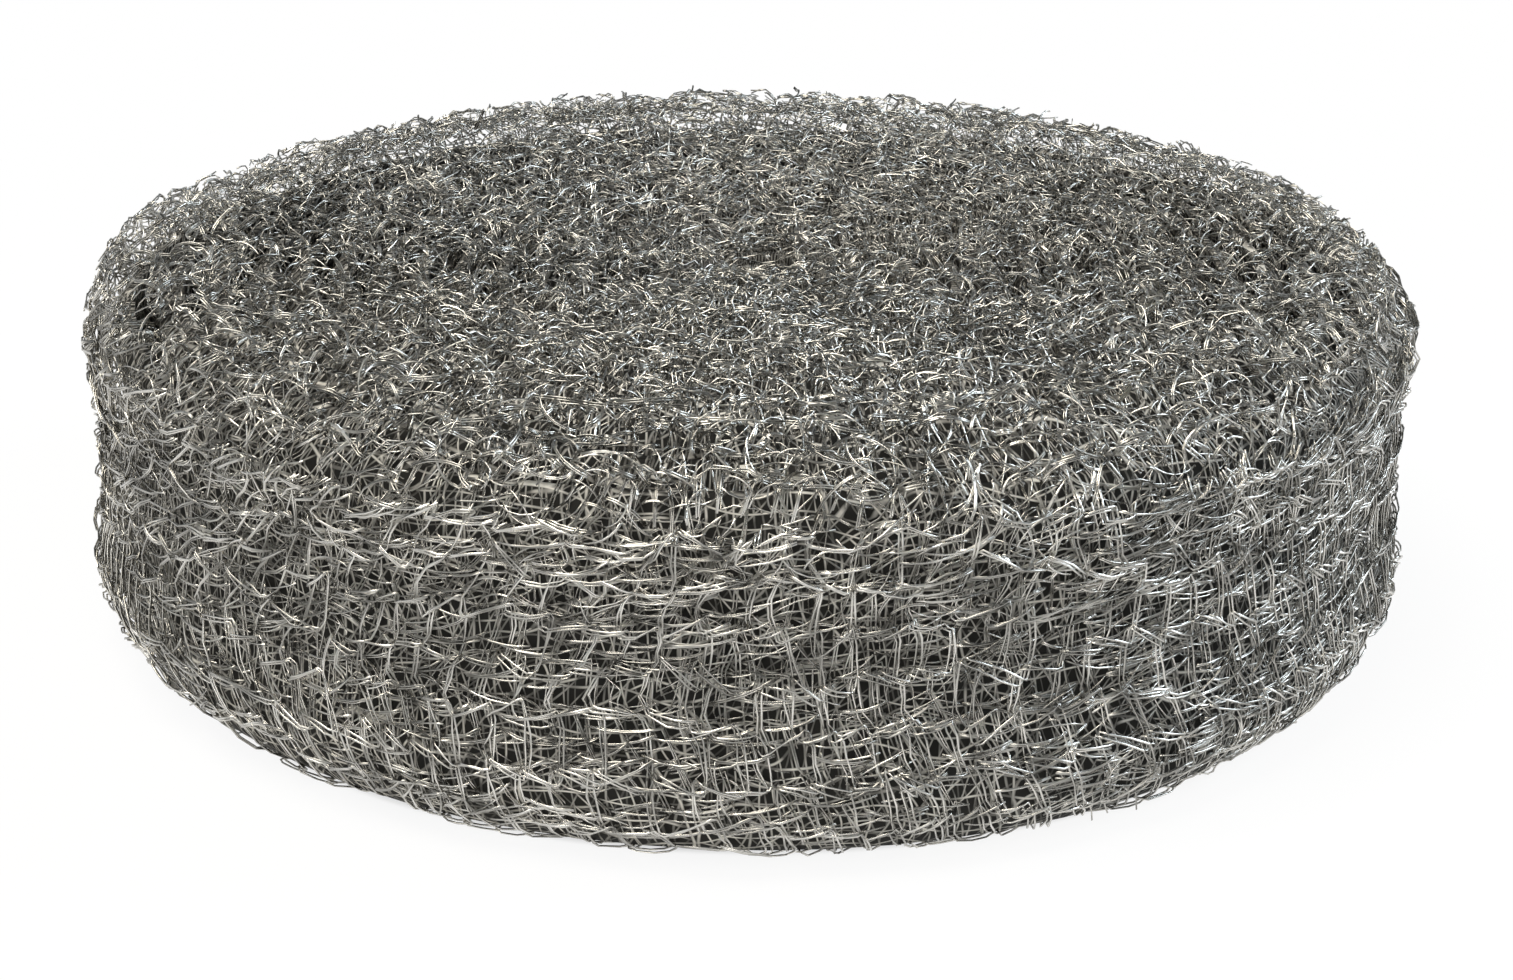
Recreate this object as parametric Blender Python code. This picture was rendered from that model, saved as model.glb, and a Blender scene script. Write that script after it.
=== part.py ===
"""A soft roll of knitted stainless wire mesh tape, standing on its lower edge.

The tape is a knitted tube pressed flat, so both of its long edges are rounded folds, thicker than
the middle. It is one strip, wound from a narrow core to a free end that lies close at the back left.
The top is a raised rim round a shallow dish, and the sides tuck in towards both edges.
"""

import math

import bmesh
import bpy

# The roll, in metres
ROLL_RADIUS = 0.1012
ROLL_HEIGHT = 0.059
CORE_RADIUS = 0.004

# The tape's section, pressed flat and folded at both edges
TAPE_THICKNESS = 0.0038
FOLD_THICKNESS = 0.0046
EDGE_FLAT = 0.0018
TURN_GAP = 0.0015

# The last turns are pulled tight, which thins the tape towards its free end
END_THINNING = 0.45
THINNING_TURNS = 1.6

# The top: a shoulder outside the rim's crest, and a dish inside it
SHOULDER_WIDTH = 0.0240
SHOULDER_DROP = 0.0058
DISH_DEPTH = 0.0050

# The side: tucked in at both edges, with a slight waist between
LOW_TUCK = 0.0074
LOW_TUCK_RISE = 0.0126
HIGH_TUCK = 0.0047
HIGH_TUCK_DROP = 0.0060
WAIST_DEPTH = 0.0017
FOOT_LIFT_WIDTH = 0.011
FOOT_LIFT = 0.0020

# The slow unevenness of a roll wound by hand
SWAY = 0.0009
RIM_RIPPLE = 0.0007

# The free end lies close, and the tape before it bows off the roll and stands straighter there
FREE_END_ANGLE = math.radians(141)
BOW_LENGTH = 0.100
BOW_LIFT = 0.0005
BOW_RISE = 0.0006
BOW_STRAIGHTENING = 0.85

# How closely the facets follow the curve, on the turns that form the wall and on those inside.
# The largest error is a share of the roll's radius, so a wider roll isn't cut into ever more facets.
WALL_TURNS = 2
WALL_CHORD_SHARE = 0.0036
INNER_CHORD_SHARE = 0.0064
FEWEST_STATIONS = 12

MESH_COLOUR = (0.60, 0.59, 0.56, 1.0)
MESH_ROUGHNESS = 0.34

STRAIGHT_TOP = ROLL_HEIGHT - SHOULDER_DROP - HIGH_TUCK_DROP
TURN_PITCH = FOLD_THICKNESS + TURN_GAP
END_TURN_RADIUS = ROLL_RADIUS - BOW_LIFT - END_THINNING * FOLD_THICKNESS / 2
CORE_TURN_RADIUS = CORE_RADIUS + FOLD_THICKNESS / 2
SAVED_BY_THINNING = FOLD_THICKNESS * (1 - END_THINNING) * THINNING_TURNS / 2
TURNS = (END_TURN_RADIUS - CORE_TURN_RADIUS + SAVED_BY_THINNING) / TURN_PITCH


def ease(share):
    """0 below zero, then a square rise to 1."""
    return min(max(share, 0.0), 1.0) ** 2


def thinning(turns_in):
    """The tape's thickness as a share of its full thickness, so many turns in from the free end."""
    return END_THINNING + (1 - END_THINNING) * min(turns_in / THINNING_TURNS, 1)


def wound_radius(turns_in):
    """The plain spiral's radius. Each turn takes up its own thickness and the gap to the next."""
    tight = min(turns_in, THINNING_TURNS)
    saved = FOLD_THICKNESS * (1 - END_THINNING) * (tight - tight * tight / (2 * THINNING_TURNS))
    return END_TURN_RADIUS - TURN_PITCH * turns_in + saved


def tape_angle(turns_in):
    return FREE_END_ANGLE + 2 * math.pi * turns_in


def bow(turns_in):
    """1 in the middle of the bow behind the free end, and 0 where the tape lies close on the roll."""
    along = min(turns_in * 2 * math.pi * ROLL_RADIUS / BOW_LENGTH, 1)
    return math.sin(math.pi * along) ** 2


def tape_radius(turns_in):
    """The tape's mean radius with the winding's sway and the bow's lift."""
    radius = wound_radius(turns_in)
    angle = tape_angle(turns_in)
    sway = SWAY * (math.sin(2 * angle + 0.8) + math.sin(3 * angle - 0.5))
    return radius + sway * radius / ROLL_RADIUS + BOW_LIFT * bow(turns_in)


def top_level(turns_in):
    """The height of the tape's upper fold: shoulder, rim and dish."""
    radius = wound_radius(turns_in)
    crest_radius = ROLL_RADIUS - SHOULDER_WIDTH
    shoulder = SHOULDER_DROP * ease((radius - crest_radius) / SHOULDER_WIDTH)
    dish = DISH_DEPTH * ease(1 - radius / crest_radius)
    angle = tape_angle(turns_in)
    ripple = RIM_RIPPLE * (math.sin(3 * angle + 0.5) + 0.7 * math.sin(7 * angle + 4.0 * turns_in)) / 1.7
    return ROLL_HEIGHT - RIM_RIPPLE - shoulder - dish + ripple + BOW_RISE * bow(turns_in)


def bottom_level(turns_in):
    """The height of the tape's lower fold: flat on the surface, lifted a little at the outside."""
    return FOOT_LIFT * ease((wound_radius(turns_in) - ROLL_RADIUS + FOOT_LIFT_WIDTH) / FOOT_LIFT_WIDTH)


def tuck(height):
    """How far the outermost turn leans inwards at this height. All turns share it, so they nest."""
    low = LOW_TUCK * ease(1 - height / LOW_TUCK_RISE)
    high = HIGH_TUCK * ease((height - STRAIGHT_TOP) / HIGH_TUCK_DROP)
    along = min(max((height - LOW_TUCK_RISE) / (STRAIGHT_TOP - LOW_TUCK_RISE), 0), 1)
    return low + high + WAIST_DEPTH * math.sin(math.pi * along)


def section(turns_in):
    """The closed outline of the tape at one place along it, up its outer face and down its inner."""
    bottom = bottom_level(turns_in)
    top = top_level(turns_in)
    share = thinning(turns_in)
    bead = share * FOLD_THICKNESS
    flat = share * EDGE_FLAT
    web = share * TAPE_THICKNESS
    high_bead = top - bead / 2
    levels = (
        (bottom, flat),
        (bottom + bead / 2, bead),
        (LOW_TUCK_RISE, web),
        ((LOW_TUCK_RISE + STRAIGHT_TOP) / 2, web),
        (STRAIGHT_TOP, web),
        ((STRAIGHT_TOP + high_bead) / 2, web),
        (high_bead, bead),
        (top, flat),
    )
    radius = tape_radius(turns_in)
    angle = tape_angle(turns_in)
    lean = 1 - BOW_STRAIGHTENING * bow(turns_in)
    outer = []
    inner = []
    for height, thickness in levels:
        leaning = radius * (1 - lean * tuck(height) / ROLL_RADIUS)
        for side, half in ((outer, thickness / 2), (inner, -thickness / 2)):
            reach = leaning + half
            side.append((reach * math.cos(angle), reach * math.sin(angle), height))
    return outer + inner[::-1]


def stations():
    """Places along the tape, in turns from the free end, spaced so that chords stay near the arc."""
    places = [0.0]
    while places[-1] < TURNS:
        share = WALL_CHORD_SHARE if places[-1] < WALL_TURNS else INNER_CHORD_SHARE
        around = math.pi * math.sqrt(wound_radius(places[-1]) / (2 * share * ROLL_RADIUS))
        places.append(min(places[-1] + 1 / max(around, FEWEST_STATIONS), TURNS))
    return places


def loft(mesh, sections):
    """One closed skin through the sections, capped at both ends."""
    rings = [[mesh.verts.new(point) for point in outline] for outline in sections]
    for ring, following in zip(rings, rings[1:]):
        for corner in range(len(ring)):
            ahead = (corner + 1) % len(ring)
            mesh.faces.new((ring[corner], ring[ahead], following[ahead], following[corner]))
    mesh.faces.new(rings[0][::-1])
    mesh.faces.new(rings[-1])
    bmesh.ops.recalc_face_normals(mesh, faces=mesh.faces)


def centre_on_origin(mesh):
    """Sets the roll's box squarely over the origin, because a spiral's own centre isn't in its middle."""
    for axis in (0, 1):
        reach = [vertex.co[axis] for vertex in mesh.verts]
        middle = (min(reach) + max(reach)) / 2
        for vertex in mesh.verts:
            vertex.co[axis] -= middle


def steel_material():
    material = bpy.data.materials.new("knitted_steel")
    material.use_nodes = True
    shader = material.node_tree.nodes["Principled BSDF"]
    shader.inputs["Base Color"].default_value = MESH_COLOUR
    shader.inputs["Metallic"].default_value = 1.0
    shader.inputs["Roughness"].default_value = MESH_ROUGHNESS
    return material


def build_roll():
    skin = bmesh.new()
    loft(skin, [section(place) for place in stations()])
    centre_on_origin(skin)
    data = bpy.data.meshes.new("mesh_roll")
    skin.to_mesh(data)
    skin.free()
    data.shade_smooth()
    data.set_sharp_from_angle(angle=math.radians(50))
    data.materials.append(steel_material())
    roll = bpy.data.objects.new("mesh_roll", data)
    bpy.context.scene.collection.objects.link(roll)
    return roll


for leftover in list(bpy.data.objects):
    bpy.data.objects.remove(leftover)
build_roll()
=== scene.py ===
"""The knitted mesh roll's looks: the tape's doubled wires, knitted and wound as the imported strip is."""

import collections
import math

import bpy
import numpy as np
from mathutils import Matrix, Vector


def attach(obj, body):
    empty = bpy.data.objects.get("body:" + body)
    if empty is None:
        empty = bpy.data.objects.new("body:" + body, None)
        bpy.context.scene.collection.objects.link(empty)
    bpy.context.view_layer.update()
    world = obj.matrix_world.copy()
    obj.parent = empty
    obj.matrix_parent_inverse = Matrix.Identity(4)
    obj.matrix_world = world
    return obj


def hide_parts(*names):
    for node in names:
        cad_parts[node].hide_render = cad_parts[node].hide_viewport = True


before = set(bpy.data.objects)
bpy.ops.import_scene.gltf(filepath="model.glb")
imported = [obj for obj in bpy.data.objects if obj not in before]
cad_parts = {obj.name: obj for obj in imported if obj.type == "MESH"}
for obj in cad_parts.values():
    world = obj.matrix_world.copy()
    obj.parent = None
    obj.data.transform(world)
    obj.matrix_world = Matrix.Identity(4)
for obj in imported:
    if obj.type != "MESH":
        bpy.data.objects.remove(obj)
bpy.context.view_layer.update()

# The wound tape, in metres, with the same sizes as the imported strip
ROLL_RADIUS = 0.1012
ROLL_HEIGHT = 0.059
CORE_RADIUS = 0.004
FOLD_THICKNESS = 0.0046
TURN_GAP = 0.0015
END_THINNING = 0.45
THINNING_TURNS = 1.6
SHOULDER_WIDTH = 0.0240
SHOULDER_DROP = 0.0058
DISH_DEPTH = 0.0050
LOW_TUCK = 0.0074
LOW_TUCK_RISE = 0.0126
HIGH_TUCK = 0.0047
HIGH_TUCK_DROP = 0.0060
WAIST_DEPTH = 0.0017
FOOT_LIFT_WIDTH = 0.011
FOOT_LIFT = 0.0020
SWAY = 0.0009
RIM_RIPPLE = 0.0007
FREE_END_ANGLE = math.radians(141)
BOW_LENGTH = 0.100
BOW_LIFT = 0.0005
BOW_RISE = 0.0006
BOW_STRAIGHTENING = 0.85

STRAIGHT_TOP = ROLL_HEIGHT - SHOULDER_DROP - HIGH_TUCK_DROP
TURN_PITCH = FOLD_THICKNESS + TURN_GAP
END_TURN_RADIUS = ROLL_RADIUS - BOW_LIFT - END_THINNING * FOLD_THICKNESS / 2
CORE_TURN_RADIUS = CORE_RADIUS + FOLD_THICKNESS / 2
SAVED_BY_THINNING = FOLD_THICKNESS * (1 - END_THINNING) * THINNING_TURNS / 2
TURNS = (END_TURN_RADIUS - CORE_TURN_RADIUS + SAVED_BY_THINNING) / TURN_PITCH

# The outermost stretch, which sets the strip's box, and how finely the spiral is tabled
OUTERMOST_TURNS = 1.2
OUTERMOST_STEPS = 2000
TABLE_STEPS = 6000

# The steps over which the top's slope, in turns, and the way along the tape, in metres, are measured
SLOPE_STEP = 0.1
AHEAD_STEP = 0.001

# The knit: stitches round the flattened tube, courses along it, and how far a wire stands off its face
WALES = 8
COURSE = 0.0049
RELIEF = 0.0005
MOST_RELIEF = 0.0008
SLANT = 0.0011

# The wires are three-sided tubes. The front's are thicker, and the loose ones at the back and on top finer.
WIRE_SIDES = 3
WIRE_RADIUS = 0.00014
FRONT_WIRE_RADIUS = 0.000165
FINE_WIRE_RADIUS = 0.00011
TOP_WIRE_RADIUS = 0.00013
FLOOR_CLEARANCE = 0.00002
NEARLY_ZERO = 1e-12

# The gap between a doubled wire's two strands, which closes towards the upper fold: from this share of the
# way up the tape, over the next stretch
STRAND_GAP = 0.00060
CLOSE_GAP = 0.00032
CLOSE_FROM = 0.5
CLOSE_OVER = 0.25

# How far the courses fall back along the tape for each metre that they climb: low down, and above that
# height, where it varies round the roll
LEAN_LOW = 0.38
LEAN_HEIGHT = 0.022
LEAN_HIGH = -0.17
LEAN_HIGH_SWING = 0.60

# The knit grows loose towards the upper fold: from this share of the way up the tape, over the next stretch
LOOSE_LOW = 0.35
LOOSE_HIGH = 1.6
LOOSE_FROM = 0.55
LOOSE_OVER = 0.25

# The knit's drifts: how many waves make one, and the range of their paces
DRIFT_WAVES = 9
DRIFT_PACES = (0.65, 1.5)

# The drifts along the tape, up it and off it: a slow one each, and a finer one that grows with looseness.
# The last is the drift of a doubled wire's gap, as a share of it.
Drift = collections.namedtuple("Drift", "size wavelength seed")
ALONG_DRIFT = Drift(0.0018, 0.050, 11)
ALONG_FINE_DRIFT = Drift(0.0005, 0.014, 12)
UP_DRIFT = Drift(0.0008, 0.030, 13)
UP_FINE_DRIFT = Drift(0.0004, 0.011, 14)
OFF_DRIFT = Drift(0.0003, 0.022, 15)
OFF_FINE_DRIFT = Drift(0.0002, 0.009, 16)
STRAND_DRIFT = Drift(0.4, 0.009, 21)

# The knit's chances: each course's shift along and up, each arc's bulge along and off its face, and each
# point's own stray
COURSE_SHIFT = 0.0006
COURSE_CLIMB = 0.00035
ARC_BULGE = 0.00045
ARC_LIFT = 0.00015
POINT_STRAY = 0.00006

# One stitch from the middle of one arc to the middle of the next but one, as (round the tube in stitches,
# along the tape in courses, off the face in reliefs, share of the arc's own bulge)
FINE_STITCH = (
    (-0.250, -0.63, -0.6, 1.0),
    (-0.120, -0.64, -0.8, 0.7),
    (0.006, -0.61, -1.0, 0.0),
    (0.056, -0.54, -0.4, 0.0),
    (0.040, -0.38, 0.7, 0.0),
    (0.000, 0.02, 1.0, 0.0),
    (-0.040, 0.38, 0.7, 0.0),
    (-0.056, 0.54, -0.4, 0.0),
    (-0.006, 0.61, -1.0, 0.0),
    (0.120, 0.65, -0.8, 0.7),
    (0.250, 0.64, -0.6, 1.0),
    (0.380, 0.65, -0.8, 0.7),
    (0.506, 0.61, -1.0, 0.0),
    (0.556, 0.54, -0.4, 0.0),
    (0.540, 0.38, 0.7, 0.0),
    (0.500, 0.02, 1.0, 0.0),
    (0.460, -0.38, 0.7, 0.0),
    (0.444, -0.54, -0.4, 0.0),
    (0.494, -0.61, -1.0, 0.0),
    (0.620, -0.64, -0.8, 0.7),
)
MIDDLE_STITCH = (
    (-0.250, -0.64, -0.7, 1.0),
    (-0.060, -0.64, -0.8, 0.5),
    (0.028, -0.56, -0.6, 0.0),
    (0.010, -0.20, 0.9, 0.0),
    (-0.010, 0.20, 0.9, 0.0),
    (-0.028, 0.56, -0.6, 0.0),
    (0.060, 0.64, -0.8, 0.5),
    (0.250, 0.64, -0.7, 1.0),
    (0.440, 0.64, -0.8, 0.5),
    (0.528, 0.56, -0.6, 0.0),
    (0.510, 0.20, 0.9, 0.0),
    (0.490, -0.20, 0.9, 0.0),
    (0.472, -0.56, -0.6, 0.0),
    (0.560, -0.64, -0.8, 0.5),
)
PLAIN_STITCH = (
    (-0.250, -0.60, -0.5, 1.0),
    (0.018, -0.55, 0.0, 0.0),
    (-0.018, 0.55, 0.0, 0.0),
    (0.250, 0.62, -0.5, 1.0),
    (0.518, 0.55, 0.0, 0.0),
    (0.482, -0.55, 0.0, 0.0),
)

# The knitted pieces. Turns count inwards from the free end, and wales round the tube from its lower fold,
# up the outer face to the upper fold at 4 and down the inner face.
Knit = collections.namedtuple("Knit", "turns wales stitch strands seed")
OUTER_FACE = Knit(turns=(0.0, 1.0), wales=(0, 4), stitch=FINE_STITCH, strands=2, seed=1)
OUTER_BACK = Knit(turns=(0.0, 1.0), wales=(4, 8), stitch=MIDDLE_STITCH, strands=2, seed=2)
SECOND_TURN = Knit(turns=(1.0, 2.0), wales=(0, 5), stitch=MIDDLE_STITCH, strands=1, seed=3)
RIM_FOLDS = Knit(turns=(2.0, 7.0), wales=(3, 5), stitch=MIDDLE_STITCH, strands=1, seed=4)
DISH_FOLDS = Knit(turns=(7.0, TURNS), wales=(3, 5), stitch=MIDDLE_STITCH, strands=1, seed=5)
LOWER_FOLDS_OUT = Knit(turns=(2.0, TURNS), wales=(0, 1), stitch=PLAIN_STITCH, strands=1, seed=6)
LOWER_FOLDS_IN = Knit(turns=(1.0, TURNS), wales=(7, 8), stitch=PLAIN_STITCH, strands=1, seed=7)

# The loose wires over the top: how deep they lie, crowded towards the top, how far they may stand above the
# folds and out from the side, with more room in front, and the share that is kept of what reaches farther
TANGLE_DEPTH = 0.0024
CROWDING = 1.3
TANGLE_RISE = 0.0007
FRONT_RISE = 0.0016
FRONT_RISE_FROM = 0.070
FRONT_RISE_OVER = 0.015
SHOULDER_FROM = 0.035
SHOULDER_OVER = 0.010
SIDE_ROOM = 0.0006
KEPT_OUTSIDE = 0.25

# The kinds of loose wire, by the ranges that are drawn from: how far an arc lies over, its radius and half
# its length. For TOP_ARC and RIM_LOOP that half length is a share of the radius.
Arc = collections.namedtuple("Arc", "tilt curve reach points")
TOP_ARC = Arc(tilt=(0.3, 1.5), curve=(0.0028, 0.0055), reach=(0.6, 1.1), points=8)
FRONT_ARC = Arc(tilt=(0.15, 1.35), curve=(0.0024, 0.0065), reach=(0.0017, 0.0040), points=7)
BACK_ARC = Arc(tilt=(0.1, 1.2), curve=(0.0020, 0.0050), reach=(0.0013, 0.0031), points=6)
RIM_LOOP = Arc(tilt=(0.9, 1.6), curve=(0.0028, 0.0070), reach=(0.5, 1.1), points=7)
WALL_ARC = Arc(tilt=(1.1, 1.6), curve=(0.0060, 0.0300), reach=(0.0018, 0.0042), points=5)
SAGGING_RUNG = Arc(tilt=(1.0, 1.7), curve=(0.0070, 0.0200), reach=(0.0030, 0.0056), points=5)
MOST_SWEEP = 1.4

# Where loose wires lie on the top, as the nearest and farthest radius, and how many
CORE_EDGE = 0.0065
DISH_EDGE = 0.062
Patch = collections.namedtuple("Patch", "count radii doubled seed")
FRONT_TANGLE = (
    Patch(count=1400, radii=(DISH_EDGE, 0.0965), doubled=0.25, seed=8),
    Patch(count=1100, radii=(CORE_EDGE, DISH_EDGE), doubled=0.20, seed=12),
)
BACK_TANGLE = (
    Patch(count=2200, radii=(DISH_EDGE, 0.0985), doubled=0.25, seed=9),
    Patch(count=2300, radii=(CORE_EDGE, DISH_EDGE), doubled=0.20, seed=13),
)
TOP_TANGLE = Patch(count=1000, radii=(CORE_EDGE, 0.066), doubled=0.15, seed=14)
RIM_LOOPS = Patch(count=1500, radii=(0.078, 0.0995), doubled=0.60, seed=21)

# How far the top's arcs are raised, as shares of the tangle's depth
TOP_RAISED = (0.2, 0.5)

# At the back the arcs slant one way and the other in columns. A heading is a mean and a spread.
COLUMN = 0.0063
BACK_HEADING = (0.80, 0.28)

# The rim's loops: the share that lie on top, and how the rest lie down the shoulder's side
RIM_ON_TOP = 0.45
RIM_LIFT = 0.0008
RIM_SIDE_TOP = 0.495
RIM_SIDE_DEPTH = 0.17
RIM_SIDE_MIDDLE = 0.4
RIM_SIDE_OFF = (-0.0012, 0.0004)
RIM_SIDE_HEADING = (0.2, 0.6)
RIM_MOST_REACH = 0.0045

# The wall's loose wires: how many, between which turns, and how deep, from a level just off the tape's face
Stretch = collections.namedtuple("Stretch", "count turns depth seed")
WALL_ARCS = (
    Stretch(count=600, turns=(0.0, 1.0), depth=0.0037, seed=15),
    Stretch(count=300, turns=(0.10, 0.62), depth=0.0040, seed=17),
)
SAGGING_RUNGS = (
    Stretch(count=750, turns=(0.43, 0.68), depth=0.0014, seed=16),
    Stretch(count=520, turns=(0.10, 0.43), depth=0.0014, seed=18),
)
WALL_AROUND = (0.03, 0.47)
WALL_OFF = 0.0003
WALL_LYING = 0.90
WALL_LYING_HEADING = (0.15, 0.25)
WALL_CLIMBING_HEADING = (1.85, 0.25)
RUNG_AROUND = (0.04, 0.44)
RUNG_OFF = 0.0006
RUNG_HEADING = (0.12, 0.14)

# Painted shade: a dark strip with painted wires, wound within the tape from the second turn on, where the
# deep wires lie in shade
INSIDE_FROM = 1.03
INSIDE_DEPTH = 0.0050
INSIDE_RISE = 0.0014
INSIDE_THICKNESS = 0.0030

# The inside strip's levels up its height, its thickness at each, and how many stations make a turn
INSIDE_LEVELS = (0, 0.10, 0.25, 0.5, 0.75, 0.95, 1.0)
INSIDE_WIDTHS = (0.35, 1, 1, 1, 1, 0.9, 0.45)
MOST_STATIONS = 72
FEWEST_STATIONS = 14

# Painted shade at the foot: a thin dark strip low in the outermost turn that leans towards the next one
FOOT_INSIDE_FROM = 0.02
FOOT_INSIDE_TOP = 0.0180
FOOT_INSIDE_RISE = 0.0005
FOOT_INSIDE_THICKNESS = 0.0008
FOOT_INSIDE_LEAN = 0.8

# Steel wire: darker and lighter patches, partly random tone and partly painted shade and highlight, and a
# gloss that varies along the wire
STEEL_DARK = (0.385, 0.373, 0.343)
STEEL_BRIGHT = (0.78, 0.758, 0.705)
STEEL_PATCH_SCALE = 190.0
STEEL_PATCH_EDGES = (0.37, 0.62)
STEEL_GLOSS_SCALE = 320.0
STEEL_GLOSS_EDGES = (0.3, 0.7)
STEEL_ROUGHNESS = (0.19, 0.31)

# Wires too deep to tell apart, painted as families of wandering lines on the strips' painted shade: how
# many to a metre round and up the roll, half a line's width as a share of their spacing, how light they
# are, and how finely they wander
DEEP_WIRES = (
    (520.0, 180.0, 0.062, 0.75, 95.0),
    (400.0, 40.0, 0.052, 0.55, 60.0),
    (40.0, 420.0, 0.052, 0.85, 75.0),
    (-110.0, 300.0, 0.044, 0.70, 110.0),
    (380.0, -260.0, 0.055, 0.42, 85.0),
)
DEEP_ROUND_RADIUS = 0.09
DEEP_WANDER = 0.007
# The lines brighten in patches as painted glints, and between them fade to a share of their lightness
DEEP_GLINT_FINENESS = 3.1
DEEP_GLINT_EDGES = (0.40, 0.62)
DEEP_BETWEEN_GLINTS = 0.20
# The near black between the lines is painted shade
DEEP_PAINTED_SHADE = 0.024
DEEP_TINT = (1.0, 0.965, 0.89)
DEEP_ROUGHNESS = 0.8
DEEP_SPECULAR = 0.1

# The floor: dark under the roll, a painted shadow, and nearer white the farther from it
FLOOR_SIZE = 8.0
FLOOR_PAINTED_SHADOW = 0.12
FLOOR_OPEN = 0.92
FLOOR_SHADOW_WITHIN = 0.0845
FLOOR_NEAR = 0.0900
FLOOR_NEAR_WHITE = 0.93
FLOOR_WHITE_BEYOND = 0.30
FLOOR_ROUGHNESS = 0.9

# The world's strength low and high, between these heights of the direction it is seen in
WORLD_LOW = 0.53
WORLD_HIGH = 0.18
WORLD_EDGES = (0.05, 0.55)
WORLD_COLOUR = (0.90, 0.96, 1.0)

# The lamps, all aimed at the roll's middle
Lamp = collections.namedtuple("Lamp", "name place size power colour")
LAMP_AIM = (0, 0, 0.03)
LAMPS = (
    Lamp("top_softbox", place=(-0.35, -0.30, 1.45), size=0.82, power=21.5, colour=(1.0, 0.95, 0.85)),
    Lamp("front_softbox", place=(-0.60, -1.35, 0.50), size=0.75, power=5.5, colour=(1.0, 0.975, 0.93)),
    Lamp("right_softbox", place=(1.25, 0.20, 0.70), size=0.62, power=11.5, colour=(0.78, 0.89, 1.0)),
)

# The camera, from the outline of the roll in the photograph
FITTED_RADIUS = 0.0995
CAMERA_DISTANCE = 5.031 * FITTED_RADIUS
CAMERA_ELEVATION = math.radians(20.03)
CAMERA_PITCH = math.radians(21.08)
CAMERA_YAW = math.radians(0.16)
CAMERA_ROLL = math.radians(0.65)
FOCAL_PIXELS = 3240.1
PHOTO_WIDTH = 1513
SENSOR_WIDTH = 36.0
AIM_HEIGHT = 0.269 * FITTED_RADIUS


def ease(share):
    """0 below zero, then a square rise to 1."""
    return np.clip(share, 0.0, 1.0) ** 2


def grown(value, start, over):
    """0 up to the start, then an even rise to 1 over the next stretch."""
    return np.clip((value - start) / over, 0, 1)


def thinning(turns_in):
    """The tape's thickness as a share of its full thickness, so many turns in from the free end."""
    return END_THINNING + (1 - END_THINNING) * np.minimum(turns_in / THINNING_TURNS, 1)


def wound_radius(turns_in):
    """The plain spiral's radius. Each turn takes up its own thickness and the gap to the next."""
    tight = np.minimum(turns_in, THINNING_TURNS)
    saved = FOLD_THICKNESS * (1 - END_THINNING) * (tight - tight * tight / (2 * THINNING_TURNS))
    return END_TURN_RADIUS - TURN_PITCH * turns_in + saved


def tape_angle(turns_in):
    return FREE_END_ANGLE + 2 * math.pi * turns_in


def bow(turns_in):
    """1 in the middle of the bow behind the free end, and 0 where the tape lies close on the roll."""
    along = np.clip(turns_in * 2 * math.pi * ROLL_RADIUS / BOW_LENGTH, 0, 1)
    return np.sin(math.pi * along) ** 2


def tape_radius(turns_in):
    """The tape's mean radius with the winding's sway and the bow's lift."""
    radius = wound_radius(turns_in)
    angle = tape_angle(turns_in)
    sway = SWAY * (np.sin(2 * angle + 0.8) + np.sin(3 * angle - 0.5))
    return radius + sway * radius / ROLL_RADIUS + BOW_LIFT * bow(turns_in)


def top_level(turns_in):
    """The height of the tape's upper fold: shoulder, rim and dish."""
    radius = wound_radius(turns_in)
    crest_radius = ROLL_RADIUS - SHOULDER_WIDTH
    shoulder = SHOULDER_DROP * ease((radius - crest_radius) / SHOULDER_WIDTH)
    dish = DISH_DEPTH * ease(1 - radius / crest_radius)
    angle = tape_angle(turns_in)
    ripple = RIM_RIPPLE * (np.sin(3 * angle + 0.5) + 0.7 * np.sin(7 * angle + 4.0 * turns_in)) / 1.7
    return ROLL_HEIGHT - RIM_RIPPLE - shoulder - dish + ripple + BOW_RISE * bow(turns_in)


def bottom_level(turns_in):
    """The height of the tape's lower fold: flat on the surface, lifted a little at the outside."""
    return FOOT_LIFT * ease((wound_radius(turns_in) - ROLL_RADIUS + FOOT_LIFT_WIDTH) / FOOT_LIFT_WIDTH)


def tuck(height):
    """How far the outermost turn leans inwards at this height. All turns share it, so they nest."""
    low = LOW_TUCK * ease(1 - height / LOW_TUCK_RISE)
    high = HIGH_TUCK * ease((height - STRAIGHT_TOP) / HIGH_TUCK_DROP)
    along = np.clip((height - LOW_TUCK_RISE) / (STRAIGHT_TOP - LOW_TUCK_RISE), 0, 1)
    return low + high + WAIST_DEPTH * np.sin(math.pi * along)


def roll_centre():
    """Where the spiral's own centre stands when the strip's box is square over the origin."""
    turns_in = np.linspace(0, OUTERMOST_TURNS, OUTERMOST_STEPS)
    reach = tape_radius(turns_in) + thinning(turns_in) * FOLD_THICKNESS / 2
    angle = tape_angle(turns_in)
    across = reach * np.cos(angle)
    deep = reach * np.sin(angle)
    return -(across.min() + across.max()) / 2, -(deep.min() + deep.max()) / 2


def length_table(turn_table):
    """How far along the tape each place in the table of turns is."""
    middles = (turn_table[1:] + turn_table[:-1]) / 2
    steps = 2 * math.pi * wound_radius(middles) * np.diff(turn_table)
    return np.concatenate([[0.0], np.cumsum(steps)])


CENTRE_X, CENTRE_Y = roll_centre()
TURN_TABLE = np.linspace(0, TURNS, TABLE_STEPS)
LENGTH_TABLE = length_table(TURN_TABLE)
RADIUS_TABLE = wound_radius(TURN_TABLE)


def length_at(turns_in):
    return float(np.interp(turns_in, TURN_TABLE, LENGTH_TABLE))


def turns_at(radius):
    """Which turn lies at this radius, from the outermost one inwards."""
    return np.interp(-radius, -RADIUS_TABLE, TURN_TABLE)


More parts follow.
